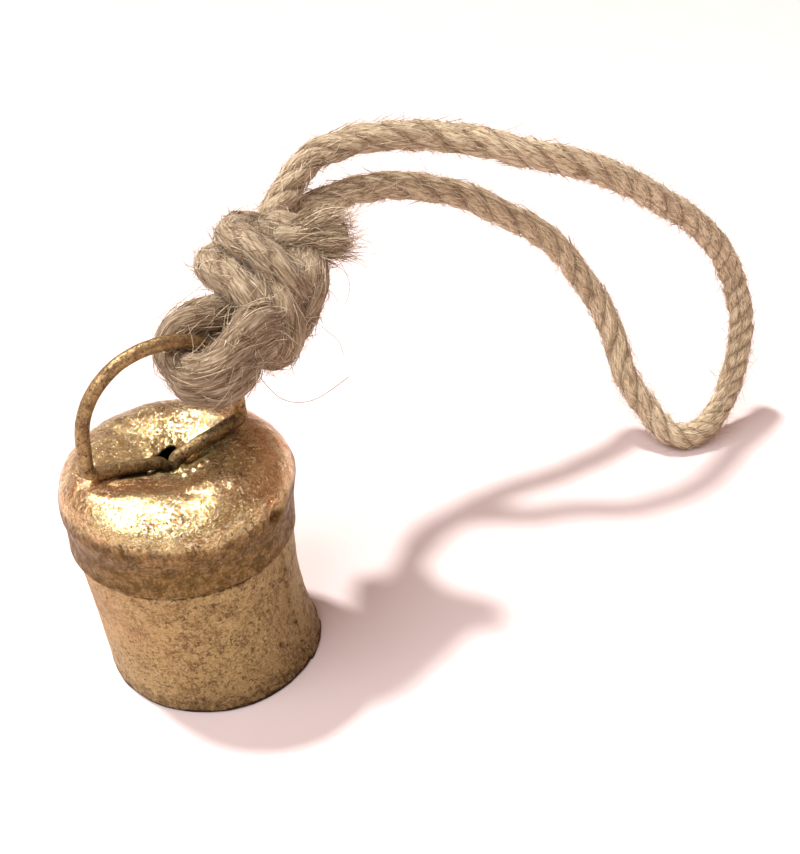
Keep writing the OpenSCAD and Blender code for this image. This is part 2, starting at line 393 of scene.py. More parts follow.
STRANDS = 3
FIBRE_SLANT = math.radians(14)
LOOSE_LAY, TIGHT_LAY, KNOT_LAY = 3.7 * ROPE_D, 2.2 * ROPE_D, 3.8 * ROPE_D
ROUTE_STEP = 0.42
SURFACE = 0.47 * ROPE_D
UV_SCALE = 0.1
ABOVE_FLOOR = 0.2


def lay_length(s, length):
    """The rope is laid tighter near the far bend, where it has been twisted up."""
    share = s / length
    tight = ramp(share, 0.34, 0.42) * (1 - ramp(share, 0.56, 0.64))
    return LOOSE_LAY + (TIGHT_LAY - LOOSE_LAY) * tight


def strand_phase(line, lay):
    """How far the strands have turned at each point; a closed line takes a whole number of strands."""
    pitch = lay(line.s, line.length) if callable(lay) else np.full(len(line.s), float(lay))
    step = np.diff(line.s) * TURN / ((pitch[1:] + pitch[:-1]) / 2)
    phase = np.concatenate([[0], np.cumsum(step)])
    if line.closed:
        whole = round(phase[-1] * STRANDS / TURN) * TURN / STRANDS
        phase *= whole / phase[-1]
    return phase


def rope_radius(local, d, pressed):
    """Outline of three strands, pressed together or not: the radius at an angle from a strand's top."""
    offset = (0.17 - 0.06 * pressed) * d
    strand = 0.5 * d - offset
    return offset * np.cos(local) + np.sqrt(np.maximum(strand ** 2 - (offset * np.sin(local)) ** 2, 0))


def rope_object(name, line, d, lay, seed, sides=60, pressed=0.0):
    """A three-strand rope along a line, with fibres that run at a slant round it."""
    phase = strand_phase(line, lay)
    count = len(line.p)
    a = np.repeat(circle(sides), count, 0)
    s = np.repeat(line.s[:, None], sides, 1)
    third = TURN / STRANDS
    local = np.mod(a - phase[:, None] + third / 2, third) - third / 2
    r = rope_radius(local, d, pressed)
    # How far down in the grooves between strands each point lies, which sets the painted shade there.
    groove_shade = 1 - (r - r.min()) / (r.max() - r.min())
    centre = line.at(s, a, r)
    r = r * (1 + 0.06 * rough(centre, 3.0, seed))
    around = 0.46 * d * a
    along = s * math.cos(FIBRE_SLANT) + around * math.sin(FIBRE_SLANT)
    over = around * math.cos(FIBRE_SLANT) - s * math.sin(FIBRE_SLANT)
    streak = rough(np.stack([along / 12, over, along * 0 + seed], -1), 0.55, seed + 3, 2)
    r = r + 0.15 * streak
    if not line.closed:
        near = np.minimum(s, line.length - s)
        r = r * np.sqrt(np.clip(1 - (1 - np.clip(near / (0.4 * d), 0, 1)) ** 2, 0.002, 1))
    rings = line.at(s, a, r)
    uv = np.stack([along, over], -1)
    if line.closed:
        rings, uv, groove_shade = rings[:-1], uv[:-1], groove_shade[:-1]
    made = mesh_object(name, rings.reshape(-1, 3), tube_faces(len(rings), sides, line.closed))
    lay_uv(made, uv.reshape(-1, 2) * UV_SCALE)
    paint(made, "groove_shade", groove_shade.ravel())
    return made


def hair_object(name, p, width, rng):
    """Three-sided tubes along rows of points, each with a random shade of its own."""
    count, steps = p.shape[:2]
    along = unit(np.gradient(p, axis=1))
    across = unit(np.cross(along, rng.normal(0, 1, (count, 1, 3))))
    over = np.cross(along, across)
    rings = [p + width[..., None] * (across * math.cos(q) + over * math.sin(q)) for q in THIRDS]
    one = tube_faces(steps, len(THIRDS))
    each = steps * len(THIRDS)
    faces = [tuple(v + i * each for v in f) for i in range(count) for f in one]
    made = mesh_object(name, np.stack(rings, 2).reshape(-1, 3), faces)
    paint(made, "shade", np.repeat(rng.random(count), each))
    return made


def fibres(name, lines, count, seed, length, lift, thickness, bend=0.5, steps=7):
    """Thin tapering jute fibres that leave the rope's surface and curl back or stand away from it."""
    rng = np.random.default_rng(seed)
    weights = np.array([l.length for l in lines])
    chosen = rng.choice(len(lines), size=count, p=weights / weights.sum())
    tubes = []
    for which, line in enumerate(lines):
        k = int((chosen == which).sum())
        if k == 0:
            continue
        size = rng.uniform(*length, k)
        start = rng.uniform(0.02, 0.98, k) * line.length
        angle = rng.uniform(0, TURN, k)
        heading = rng.normal(0.3, bend, k) + np.where(rng.random(k) < 0.5, 0, math.pi)
        high = rng.uniform(*lift, k) * size
        curl = rng.normal(0, 0.5, k)
        t = np.linspace(0, 1, steps)[None]
        turned = heading[:, None] + curl[:, None] * t
        s = start[:, None] + np.cumsum(np.cos(turned), 1) * size[:, None] / steps
        r = SURFACE + high[:, None] * t ** 1.4 - 0.25 * (1 - t) ** 2
        w = angle[:, None] + np.cumsum(np.sin(turned), 1) * size[:, None] / steps / r
        p = line.at(np.clip(s, 0, line.length), w, r)
        p = p + 0.10 * size[:, None, None] * t[..., None] ** 2 * rng.normal(0, 1, (k, 1, 3))
        tubes.append(p)
    p = np.concatenate(tubes)
    p[..., 2] = np.maximum(p[..., 2], ABOVE_FLOOR)
    thick = rng.uniform(*thickness, len(p))
    t = np.linspace(0, 1, steps)
    width = thick[:, None] * (0.25 + 0.75 * np.sin(math.pi * np.clip(t, 0.1, 0.97)))[None]
    return hair_object(name, p, width, rng)


# ---- material helpers ----

class Tree:
    """A material's nodes, made and joined in short calls."""

    def __init__(self, name):
        self.material = bpy.data.materials.new(name)
        self.material.use_nodes = True
        self.t = self.material.node_tree
        self.shader = self.t.nodes["Principled BSDF"]

    def node(self, kind, inputs=(), **props):
        """A new node with its properties and inputs set; an input is a value or another node's output."""
        n = self.t.nodes.new(kind)
        for k, v in props.items():
            setattr(n, k, v)
        for key, value in dict(inputs).items():
            self.feed(n.inputs[key], value)
        return n

    def feed(self, socket, value):
        if isinstance(value, bpy.types.NodeSocket):
            self.t.links.new(value, socket)
        else:
            socket.default_value = value

    def place(self):
        """The place on the piece itself, so that the pattern moves with it."""
        return self.node("ShaderNodeTexCoord").outputs["Object"]

    def spots(self, vector, scale, detail=4.0, rough=0.55, distortion=0.0):
        """Cloudy noise from 0 to 1."""
        n = self.node("ShaderNodeTexNoise", {"Vector": vector, "Scale": scale, "Detail": detail,
                                             "Roughness": rough, "Distortion": distortion})
        return n.outputs["Fac"]

    def cells(self, vector, scale):
        """Distance from the nearest of many scattered points."""
        return self.node("ShaderNodeTexVoronoi", {"Vector": vector, "Scale": scale}).outputs["Distance"]

    def step(self, value, low, high, to_low=0.0, to_high=1.0):
        """A value mapped from one range to another and held at its ends."""
        n = self.node("ShaderNodeMapRange", {"Value": value, "From Min": low, "From Max": high,
                                             "To Min": to_low, "To Max": to_high})
        return n.outputs["Result"]

    def math(self, op, a, b):
        return self.node("ShaderNodeMath", {0: a, 1: b}, operation=op).outputs[0]

    def times(self, a, b):
        return self.math("MULTIPLY", a, b)

    def mix(self, factor, a, b):
        n = self.node("ShaderNodeMix", data_type="RGBA")
        for key, value in ((0, factor), (6, a), (7, b)):
            if isinstance(value, tuple):
                value = (*value, 1.0)
            self.feed(n.inputs[key], value)
        return n.outputs[2]

    def bump(self, height, strength, distance, normal=None):
        inputs = {"Height": height, "Strength": strength, "Distance": distance}
        if normal is not None:
            inputs["Normal"] = normal
        return self.node("ShaderNodeBump", inputs).outputs["Normal"]

    def attribute(self, name):
        """A number painted on the mesh."""
        return self.node("ShaderNodeAttribute", attribute_name=name).outputs["Fac"]

    def mapped(self, vector, **ways):
        n = self.node("ShaderNodeMapping", {"Vector": vector, **ways})
        return n.outputs["Vector"]

    def done(self, **inputs):
        """Sets the shader's inputs, named with _ for a space, and gives the material."""
        for key, value in inputs.items():
            self.feed(self.shader.inputs[key.replace("_", " ")], value)
        return self.material


COPPER = (0.74, 0.42, 0.20)
# Colours of the cap's duller band, which also holds painted shade.
DULL_SHADE_LIGHT, DULL_SHADE_DARK = (0.22, 0.125, 0.044), (0.08, 0.038, 0.012)
BLACKENED_AND_SHADOW = (0.016, 0.010, 0.005)

BODY_BRASS = {
    "base": (0.34, 0.242, 0.10), "brown": (0.20, 0.124, 0.05), "bright": (0.62, 0.48, 0.26),
    "pit": (0.085, 0.045, 0.015), "metallic": 0.75, "roughness": 0.50,
    "fleck": 0.4, "pitting": 0.72, "seed": 0.0,
}
CAP_BRASS = {
    "base": (0.82, 0.63, 0.275), "brown": (0.32, 0.165, 0.05), "bright": (1.0, 0.98, 0.76),
    "pit": (0.17, 0.108, 0.02), "metallic": 0.95, "roughness": 0.17,
    "fleck": 0.68, "pitting": 0.95, "seed": 3.1,
}
WIRE_BRASS = {
    "base": (0.30, 0.20, 0.09), "brown": (0.12, 0.07, 0.035), "bright": (0.58, 0.44, 0.22),
    "pit": (0.06, 0.036, 0.02), "metallic": 0.85, "roughness": 0.42,
    "fleck": 0.5, "pitting": 0.8, "seed": 7.7,
}


def aged_brass(name, base, brown, bright, pit, metallic, roughness, fleck, pitting, seed):
    """Hammered, brass-coated iron. The mesh says where it is rusty, coppery or duller, and where shade is
    painted.
    """
    m = Tree(name)
    p = m.node("ShaderNodeVectorMath", {0: m.place(), 1: (seed, seed, seed)}, operation="ADD").outputs[0]
    patchy = m.step(m.spots(p, 520, 5, 0.7), 0.44, 0.57)
    uneven = m.step(patchy, 0, 1, 0.35, 1.0)
    grain = m.step(m.spots(p, 1900, 3, 0.7), 0.47, 0.60)
    rust_and_shade, dull_and_shade = m.attribute("rust_and_shade"), m.attribute("dull_and_shade")
    dark = m.math("ADD", pits_and_holes(m, p, pitting), m.times(rust_and_shade, uneven))
    dark = m.math("MINIMUM", dark, 1.0)

    broad = m.step(m.spots(p, 150, 3, 0.6, 0.5), 0.43, 0.57)
    colour = m.mix(m.times(broad, uneven), base, brown)
    colour = m.mix(m.times(grain, fleck), colour, bright)
    colour = m.mix(dark, colour, pit)
    coppery = m.times(m.attribute("copper"), m.step(m.spots(p, 300, 4, 0.7), 0.32, 0.60))
    colour = m.mix(coppery, colour, COPPER)
    # The cap's duller band, which also holds painted shade under the shoulder.
    dull_shade_colour = m.mix(m.step(patchy, 0, 1, 0.2, 0.9), DULL_SHADE_LIGHT, DULL_SHADE_DARK)
    colour = m.mix(m.times(dull_and_shade, m.step(grain, 0, 1, 0.98, 0.88)), colour, dull_shade_colour)
    colour = m.mix(m.times(dull_and_shade, dark), colour, pit)
    # Near black at the seam, under the skirt, at the mouth's rim and in the painted shadow by the wires.
    colour = m.mix(m.step(rust_and_shade, 1.2, 2.0), colour, BLACKENED_AND_SHADOW)

    shine = m.math("ADD", m.step(m.spots(p, 520, 4, 0.7), 0.3, 0.7, -0.12, 0.14), roughness)
    shine = m.math("ADD", shine, m.times(dull_and_shade, 0.28))
    shine = m.math("ADD", shine, m.times(dark, 0.25))
    worn = m.step(dark, 0, 1, metallic, metallic * 0.7)
    return m.done(Base_Color=colour, Roughness=shine, Metallic=worn, Specular_IOR_Level=0.2,
                  Normal=hammered_normal(m, p, dark))


def pits_and_holes(m, p, amount):
    """Fine pits, thicker in some places, and a few larger round holes in the coating."""
    dense = m.step(m.spots(p, 230, 3, 0.6), 0.38, 0.60, 0.5, 1.0)
    pits = m.step(m.spots(p, 1150, 3, 0.65, 0.4), 0.55, 0.62)
    holes = m.step(m.cells(p, 800), 0.20, 0.08)
    rare = m.step(m.spots(p, 330, 2), 0.50, 0.58)
    both = m.math("MAXIMUM", m.times(pits, dense), m.times(holes, rare))
    return m.times(both, amount)


def hammered_normal(m, p, dark):
    """Hammer marks, a fine ripple that is calmer in places, and sunken pits."""
    hammered = m.bump(m.spots(p, 330, 3, 0.6), 0.5, 0.00060)
    calm = m.step(m.spots(p, 190, 3, 0.6, 0.4), 0.42, 0.56, 0.80, 1.05)
    ripple = m.times(m.math("SUBTRACT", m.spots(p, 1500, 4, 0.7), 0.5), calm)
    fine = m.bump(ripple, 0.65, 0.00026, hammered)
    return m.bump(m.math("SUBTRACT", 1.0, dark), 0.8, 0.00015, fine)


def dark_iron():
    """The clapper's bare iron, rusty in patches."""
    m = Tree("dark_iron")
    p = m.place()
    rusty = m.step(m.spots(p, 260, 5, 0.7), 0.42, 0.66)
    colour = m.mix(rusty, (0.055, 0.048, 0.042), (0.17, 0.085, 0.045))
    return m.done(Base_Color=colour, Metallic=m.step(rusty, 0, 1, 0.85, 0.25),
                  Roughness=m.step(rusty, 0, 1, 0.48, 0.8),
                  Normal=m.bump(m.spots(p, 900, 5, 0.7), 0.5, 0.0002))


def jute():
    """Fibres run along the UVs; painted shade darkens the grooves between strands."""
    m = Tree("jute")
    uv = m.node("ShaderNodeUVMap", uv_map="UVMap").outputs["UV"]
    yarns = m.spots(m.mapped(uv, Scale=(1.7, 13, 1)), 1.0, 2, 0.6)
    streaks = m.spots(m.mapped(uv, Scale=(3.2, 28, 1)), 1.0, 2, 0.6)
    fine = m.spots(m.mapped(uv, Scale=(5.0, 55, 1)), 1.0, 2, 0.7)
    turned_uv = m.mapped(uv, Rotation=(0.0, 0.0, 0.5))
    crossing = m.spots(m.mapped(turned_uv, Scale=(3.0, 32, 1)), 1.0, 1, 0.5)
    broad = m.spots(m.place(), 110, 3, 0.6)
    colour = m.mix(m.step(yarns, 0.36, 0.64), (0.42, 0.315, 0.18), (0.75, 0.625, 0.415))
    tints = [
        (streaks, 0.52, 0.66, 0.9, (0.86, 0.745, 0.545)),
        (streaks, 0.46, 0.34, 0.9, (0.19, 0.115, 0.06)),
        (fine, 0.54, 0.66, 0.6, (0.90, 0.74, 0.53)),
        (fine, 0.44, 0.33, 0.7, (0.16, 0.095, 0.05)),
        (crossing, 0.60, 0.68, 0.7, (0.88, 0.72, 0.52)),
        (crossing, 0.37, 0.30, 0.7, (0.17, 0.10, 0.055)),
        (broad, 0.40, 0.65, 0.3, (0.42, 0.30, 0.175)),
    ]
    for pattern, low, high, share, tint in tints:
        colour = m.mix(m.step(pattern, low, high, 0.0, share), colour, tint)
    # Painted shade in the grooves between strands.
    groove_shade = m.step(m.attribute("groove_shade"), 0.66, 1.0, 0.0, 0.70)
    colour = m.mix(groove_shade, colour, (0.15, 0.09, 0.045))
    # Soil, and painted shade between the knot's wraps.
    soil_and_shade = m.times(m.attribute("inside"), m.step(streaks, 0.3, 0.7, 0.95, 0.45))
    colour = m.mix(soil_and_shade, colour, (0.12, 0.07, 0.038))
    coarse = m.bump(streaks, 0.8, 0.0003, m.bump(yarns, 0.7, 0.0005))
    return m.done(Base_Color=colour, Roughness=0.85, Specular_IOR_Level=0.25, Sheen_Weight=0.15,
                  Sheen_Roughness=0.5, Normal=m.bump(fine, 0.7, 0.00015, coarse))


def jute_fibre():
    """The loose hairs: each has its own shade, and those in the knot are soiled."""
    m = Tree("jute_fibre")
    shade = m.attribute("shade")
    colour = m.mix(m.step(shade, 0.15, 0.85), (0.36, 0.24, 0.13), (0.92, 0.80, 0.60))
    along = m.spots(m.place(), 700, 2)
    colour = m.mix(m.step(along, 0.4, 0.65, 0.0, 0.3), colour, (0.42, 0.28, 0.155))
    soil = m.times(m.attribute("inside"), m.step(shade, 0.93, 0.80))
    colour = m.mix(soil, colour, (0.17, 0.105, 0.055))
    return m.done(Base_Color=colour, Roughness=0.7, Specular_IOR_Level=0.3)


def pale_floor():
    """A plain pale floor, very slightly uneven."""
    m = Tree("floor")
    soft = m.step(m.spots(m.place(), 30, 2), 0.3, 0.7)
    colour = m.mix(soft, (0.82, 0.71, 0.705), (0.84, 0.73, 0.725))
    return m.done(Base_Color=colour, Roughness=0.9, Specular_IOR_Level=0.1)


# ---- the rope ----

KNOT_SOIL, TURN_SOIL, LOOP_SOIL = 0.75, 1.0, 0.45
HAIR_SOIL = {"knot_fuzz": 0.6, "knot_down": 0.4, "knot_loops": 0.15}
OTHER_SOIL = 0.2


def build_rope():
    """The loop, the knot and the turn round the bail, all on the rope's body."""
    yarn, hair = jute(), jute_fibre()
    loop_line = Line(spline([ROOT_HIGH, *LOOP_ROUTE, ROOT_LOW], ROUTE_STEP))
    loop = build_loop(loop_line, yarn)
    lines, pieces = build_strands(yarn)
    core = knot_core(yarn)
    tuft = frayed_tail(hair)
    fuzz = build_fuzz(loop_line, lines, hair)


def build_loop(line, material):
    """The free loop, a little soiled where hands have held it near the knot."""
    loop = rope_object("jute_loop", line, ROPE_D, lay_length, 5)
    from_knot = np.minimum(line.s, line.length - line.s)
    soil = LOOP_SOIL * (1 - ramp(from_knot, 10, 110))
    paint(loop, "inside", np.repeat(soil, len(loop.data.vertices) // len(soil)))
    return finished(loop, "rope", "jute", material, "rope_loop")


def build_strands(material):
    """The wraps of the knot, the turns round the bail and the rope's cut end."""
    strands = {
        "knot_wrap_top": (WRAP_TOP, True, "rope_knot"),
        "knot_wrap_middle": (WRAP_MIDDLE, True, "rope_knot"),
        "knot_wrap_inner": (WRAP_INNER, False, "rope_knot"),
        "knot_wrap_side": (WRAP_SIDE, False, "rope_knot"),
        "turn_left": (TURN_LEFT, False, "rope_turn"),
        "turn_middle": (TURN_MIDDLE, False, "rope_turn"),
        "turn_right": (TURN_RIGHT, False, "rope_turn"),
        "knot_bridge": (BRIDGE, False, "rope_knot"),
        "tail_end": (TAIL, False, "rope_tail"),
    }
    lines, pieces = [], []
    for k, (name, (points, closed, node)) in enumerate(strands.items()):
        line = Line(spline(points, ROUTE_STEP, closed), closed)
        thick = TAIL_D if node == "rope_tail" else KNOT_D
        piece = rope_object(name, line, thick, KNOT_LAY, 20 + k, pressed=0.6)
        soil = TURN_SOIL if node == "rope_turn" else KNOT_SOIL
        # The darker of the painted shade between the knot's wraps and the strand's soil.
        paint(piece, "inside", np.maximum(shade_between_wraps(piece) * (node == "rope_knot"), soil))
        finished(piece, "rope", "jute", material, node)
        lines.append(line)
        pieces.append(piece)
    return lines, pieces


def build_fuzz(loop_line, knot_lines, material):
    """Lying hairs, short down, loose ends and long curls on the loop and the knot."""
    loop = [loop_line]
    fuzz = [
        fibres("loop_fuzz", loop, 4600, 3, (2.0, 8.0), (0.01, 0.10), (0.05, 0.11), bend=0.35),
        fibres("loop_down", loop, 4200, 14, (0.8, 2.8), (0.35, 0.95), (0.016, 0.032), bend=1.2),
        fibres("loop_flyaways", loop, 680, 4, (2.5, 8.0), (0.25, 0.8), (0.022, 0.045), bend=1.0),
        fibres("knot_fuzz", knot_lines, 6800, 6, (2.5, 9.0), (0.01, 0.13), (0.045, 0.11), bend=0.9),
        fibres("knot_down", knot_lines, 3200, 15, (0.8, 3.4), (0.3, 0.9), (0.018, 0.036), bend=1.2),
        fibres("knot_flyaways", knot_lines, 900, 7, (3.0, 9.0), (0.2, 0.6), (0.024, 0.05), bend=1.0),
        fibres("knot_loops", knot_lines, 950, 8, (5.0, 15.0), (0.03, 0.15), (0.045, 0.085), bend=1.4,
               steps=16),
        long_hairs("long_hairs"),
    ]
    for piece in fuzz:
        paint(piece, "inside", HAIR_SOIL.get(piece.name, OTHER_SOIL))
        finished(piece, "rope", "jute", material)
    return fuzz


def shade_between_wraps(obj):
    """How far in between the wraps each point lies, from the knot's long middle line outwards; it sets the
    painted shade there.
    """
    p = np.array([v.co for v in obj.data.vertices]) / MM
    span = KNOT_HIGH - KNOT_LOW
    share = np.clip(((p - KNOT_LOW) @ span) / (span @ span), 0, 1)
    away = np.linalg.norm(p - KNOT_LOW - share[:, None] * span, axis=1)
    return 1 - ramp(away + 0.6 * rough(p, 2.0, 62), 7.0, 10.0)


def long_hairs(name):
    """A few long fibres that stand well away from the rope."""
    routes = [
        ([[13, 10, 60], [18, 8, 55], [24, 9, 54], [31, 13, 57]], 0.07),
        ([[128, 84, 14], [125, 79, 17], [121, 74, 22]], 0.06),
        ([[131, 88, 20], [128, 84, 26], [124, 80, 31]], 0.05),
        ([[25, 24, 80], [29, 20, 78], [31, 18, 74], [30, 17, 70]], 0.05),
        ([[8, 12, 79], [4, 9, 81], [2, 8, 84]], 0.045),
        ([[22, 13, 72], [26, 11, 69], [29, 11, 66], [30, 12, 62]], 0.05),
    ]
    hairs = [bead_tube(Line(spline(route, 0.5)), thick, 5, wobble=0.2, size=2.0, seed=80 + k)
             for k, (route, thick) in enumerate(routes)]
    made = joined(name, hairs)
    paint(made, "shade", 0.2)
    return made


def knot_core(material):
    """The hidden middle of the knot, which fills the gaps between its wraps and is painted dark as shade
    there.
    """
    low, high = KNOT_LOW, KNOT_HIGH
    rows, n = 40, 48
    axis = unit(high - low)
    side = unit(np.cross(axis, Z))
    up = np.cross(side, axis)
    t = np.linspace(0, math.pi, rows)[:, None]
    a = circle(n)
    reach = np.linalg.norm(high - low) / 2 + 3
    mid = (low + high) / 2
    r = 8.3 * np.maximum(np.sin(t), 0.01) ** 0.8
    p = (mid - axis * np.cos(t)[..., None] * reach
         + r[..., None] * (np.cos(a)[..., None] * side + np.sin(a)[..., None] * up))
    p = p + 1.3 * rough(p, 3.5, 71)[..., None] * unit(p - mid)
    core = mesh_object("knot_core", p.reshape(-1, 3), tube_faces(rows, n))
    uv = np.stack([np.repeat(t * 8, n, 1), np.repeat(a * 7, rows, 0)], -1)
    lay_uv(core, uv.reshape(-1, 2) * UV_SCALE)
    # Painted shade: the core shows only in the gaps between wraps, so it is painted dark all over.
    paint(core, "groove_shade", 0.9)
    paint(core, "inside", 1.0)
    return finished(core, "rope", "jute", material)


def frayed_tail(material):
    """The cut end of the rope, opened into a brush of fibres."""
    rng = np.random.default_rng(12)
    count, steps = 900, 8
    base = np.array([22.5, 25.2, 80.2])
    along = unit(np.array([7.0, -1.0, 1.6]))
    side = unit(np.cross(along, Z))
    up = np.cross(side, along)
    ring = rng.uniform(0, TURN, count)
    spread = 0.52 * TAIL_D
    out = np.sqrt(rng.random(count)) * spread
    across = np.cos(ring)[:, None] * side + np.sin(ring)[:, None] * up
    size = rng.uniform(3.5, 10.5, count)
    splay = rng.uniform(0.05, 0.30, count) * out / spread
    t = np.linspace(0, 1, steps)[None, :, None]
    back = along * rng.uniform(-2.5, 1.5, (count, 1, 1))
    p = (base + back + across[:, None] * out[:, None, None] + along * t * size[:, None, None]
         + across[:, None] * t ** 1.5 * (splay * size)[:, None, None]
         + rng.normal(0, 0.20, (count, 1, 3)) * t ** 2 * size[:, None, None]
         + rng.normal(0, 0.9, (count, 1, 3)) * np.sin(math.pi * t))
    width = rng.uniform(0.05, 0.11, count)[:, None] * (1 - 0.75 * t[0, :, 0] ** 2)[None]
    tuft = hair_object("tail_tuft", p, width, rng)
    paint(tuft, "inside", 0.4)
    return finished(tuft, "rope", "jute", material)


# ---- the bell's shell ----

def body_surface(a, z, inset):
    """The leaning wall: an ellipse at each height, with the lap of the rolled sheet on the right."""
    k = np.where(z >= BODY_H, 0.0, 1 - z / BODY_H)
    left = CAP_X - NECK_R + (MOUTH_X - MOUTH_D / 2 - CAP_X + NECK_R) * k + 0.35 * np.sin(math.pi * k)
    right = CAP_X + NECK_R + (MOUTH_X + MOUTH_D / 2 - CAP_X - NECK_R) * k ** 2.6
    depth = NECK_R + (MOUTH_D / 2 - NECK_R) * k ** 2
    deg = degrees_round(a)
    lap = LAP_T * ramp(deg, LAP_FROM, LAP_TO) * (1 - ramp(deg, 8, 14))
    fade = np.clip((BODY_H - 0.6 - z) / 3, 0, 1)
    out = lap * fade * (inset <= 0) - inset
    mid, half = (left + right) / 2, (right - left) / 2
    return np.stack([mid + (half + out) * np.cos(a), (depth + out) * np.sin(a), z + 0 * a], -1)


def degrees_round(a):
    """An angle as -180 to 180 degrees."""
    return np.degrees(np.mod(a + math.pi, TURN) - math.pi)


def shell_object(name, outside, inside):
    """A closed sheet: the outside's rows, then the inside's rows back again."""
    rows = np.concatenate([outside, inside[::-1]])
    count, n = rows.shape[:2]
    return mesh_object(name, rows.reshape(-1, 3), grid_faces(count, n, close_rows=True)), rows


def hammer(points, outward, amounts, seed):
    """Moves points along a direction by layers of (size, height) noise."""
    move = 0
    for k, (size, height) in enumerate(amounts):
        move = move + height * rough(points, size, seed + 31 * k)
    return points + move[..., None] * outward


def build_body(material):
    """The rolled shell, hammered a little, with its mouth's edge rounded and worn."""
    n = 360
    a = circle(n)
    wall = np.linspace(0.7, BODY_H - 0.3, 90)
    z = np.concatenate([[0.0, 0.12, 0.35], wall, np.linspace(BODY_H, NECK_TOP, 6)])[:, None]
    outward = outwards(a)
    free = (1 - ramp(z, BODY_H - 3, BODY_H))[..., None]
    roll = 0.22 * (1 - ramp(z, 0, 0.5))[..., None] * outward

    def side(inset, marks):
        flat = body_surface(a, z, inset)
        return flat + (hammer(flat, outward, marks, 3) - flat) * free

    outside = side(0.0, [(11, 0.20), (4, 0.10), (1.4, 0.05)]) - roll
    inside = side(SHEET_T, [(11, 0.20), (5, 0.10)]) + roll
    lip = 0.16 * (1 + noise(outside[:1], 3.5, 9)) * (1 - ramp(z, 0.0, 2.0))
    outside[..., 2] += lip
    inside[..., 2] += lip
    body, rows = shell_object("bell_body", outside, inside)
    paint_body(body, rows[..., 2], np.repeat(degrees_round(a), len(rows), 0), len(z))
    return finished(body, "bell", "body_brass", material, "body_shell")


def paint_body(body, height, angle, outer_rows):
    """A dark rim and painted shade at the mouth, the lap's dark edge, one dark blotch, and a line under the
    cap's skirt.
    """
    # A dark line at the mouth's rim, and painted shade that darkens the wall towards the floor.
    mouth = 1.5 * (1 - ramp(height, 0.3, 1.4)) + 0.55 * (1 - ramp(height, 0.8, 5.5))
    under_skirt = 1.5 * ramp(height, BODY_H - 1.1, BODY_H - 0.9)
    inner = np.repeat((np.arange(len(height)) >= outer_rows)[:, None], height.shape[1], 1)
    lap = np.exp(-((angle - (LAP_FROM + LAP_TO) / 2) / 0.8) ** 2) * (1 - ramp(height, 24, 30))
    across, up = (angle + 34.8) * math.radians(MOUTH_D / 2), height - 9.4
    blotch = 1 - ramp(np.abs(across + 0.25 * up) / 0.9 + np.abs(up - 0.2 * across) / 1.6, 0.7, 1.1)
    paint(body, "rust_and_shade", np.maximum.reduce([mouth + under_skirt, 0.7 * inner, 0.8 * lap, blotch]))
    paint(body, "copper", 0.30 * (1 - ramp(angle, -150, -60)) * ramp(height, 4, 20))


def crown_top(r):
    """Height of the dished dome at a distance from the cap's middle."""
    share = np.clip(r / DOME_R, 0, 1)
    dome = CROWN_H * (1 - share ** CROWN_POWER) ** (1 / CROWN_POWER)
    return WIDEST_Z + dome - DISH_DEPTH * np.exp(-(r / DISH_R) ** 2)


def cap_rows(inset):
    """Rows of the cap from the skirt's edge up over the shoulder and in to the hole."""
    n = 384
    a = circle(n)
    skirt = np.linspace(BODY_H, SKIRT_Z, 22)
    bulge = np.linspace(0, 1, 15)[1:]
    swing = np.radians(np.concatenate([np.linspace(0, 50, 44)[1:], np.linspace(50, 78, 46)[1:]]))
    r = np.concatenate([
        np.full(len(skirt), SKIRT_RO), SKIRT_RO + (DOME_R - SKIRT_RO) * np.sin(bulge * math.pi / 2),
        DOME_R * np.cos(swing) ** (2 / CROWN_POWER),
    ])
    below_top = len(skirt) + len(bulge)
    z = np.concatenate([skirt, SKIRT_Z + BULGE_H * bulge, crown_top(r[below_top:])])
    keep = (r > CROWN_INNER_R) | (np.arange(len(r)) < len(skirt))
    r, z = r[keep], z[keep]
    inner = np.linspace(r[-1], HOLE_R, 34)[1:]
    r = np.concatenate([r, inner])
    z = np.concatenate([z, crown_top(inner)])
    towards_hole = (1 - ramp(r, HOLE_R, CROWN_INNER_R))[:, None]
    shift = towards_hole[..., None] * np.array([HOLE_AT[0] - CAP_X, HOLE_AT[1], 0.0])
    torn = rough(4 * outwards(a), 2.4, 5)
    near_hole = (1 - ramp(r, HOLE_R, 6.0))[:, None]
    rr = r[:, None] * (1 + 0.09 * torn * near_hole)
    longer = (HOLE_LONG - HOLE_R) * towards_hole * np.sin(a)
    curled = near_hole * ramp(np.sin(a), -0.2, 0.5)
    x = rr * np.cos(a) * (1 - CURL_X * curled)
    y = (rr * np.sin(a) + longer) * (1 - CURL_Y * curled)
    p = np.stack([x, y, z[:, None] + 0 * a], -1) + shift
    inner_rows = (np.arange(len(r)) >= below_top) & (r <= CROWN_INNER_R)
    p[inner_rows, :, 2] = crown_top(np.linalg.norm(p[inner_rows, :, :2], axis=-1))
    slope = np.gradient(p, axis=0)
    around = np.roll(p, -1, 1) - np.roll(p, 1, 1)
    outward = unit(np.cross(around, slope))
    return p + np.array([CAP_X, 0, 0]) - inset * outward, outward


def gauss(p, centre, spread):
    """1 at a place, falling off with a spread along each axis."""
    d = (p - np.array(centre)) / np.array(spread)
    return np.exp(-(d ** 2).sum(-1))


def from_hole(p):
    """1 on the edge of the hole, more outside it; the metal behind the wires has curled in."""
    x, y = p[..., 0] - HOLE_AT[0], p[..., 1] - HOLE_AT[1]
    curled = ramp(y / np.maximum(np.hypot(x, y), 0.1), -0.2, 0.5)
    return np.hypot(x / (HOLE_R * (1 - CURL_X * curled)), y / (HOLE_LONG * (1 - CURL_Y * curled)))


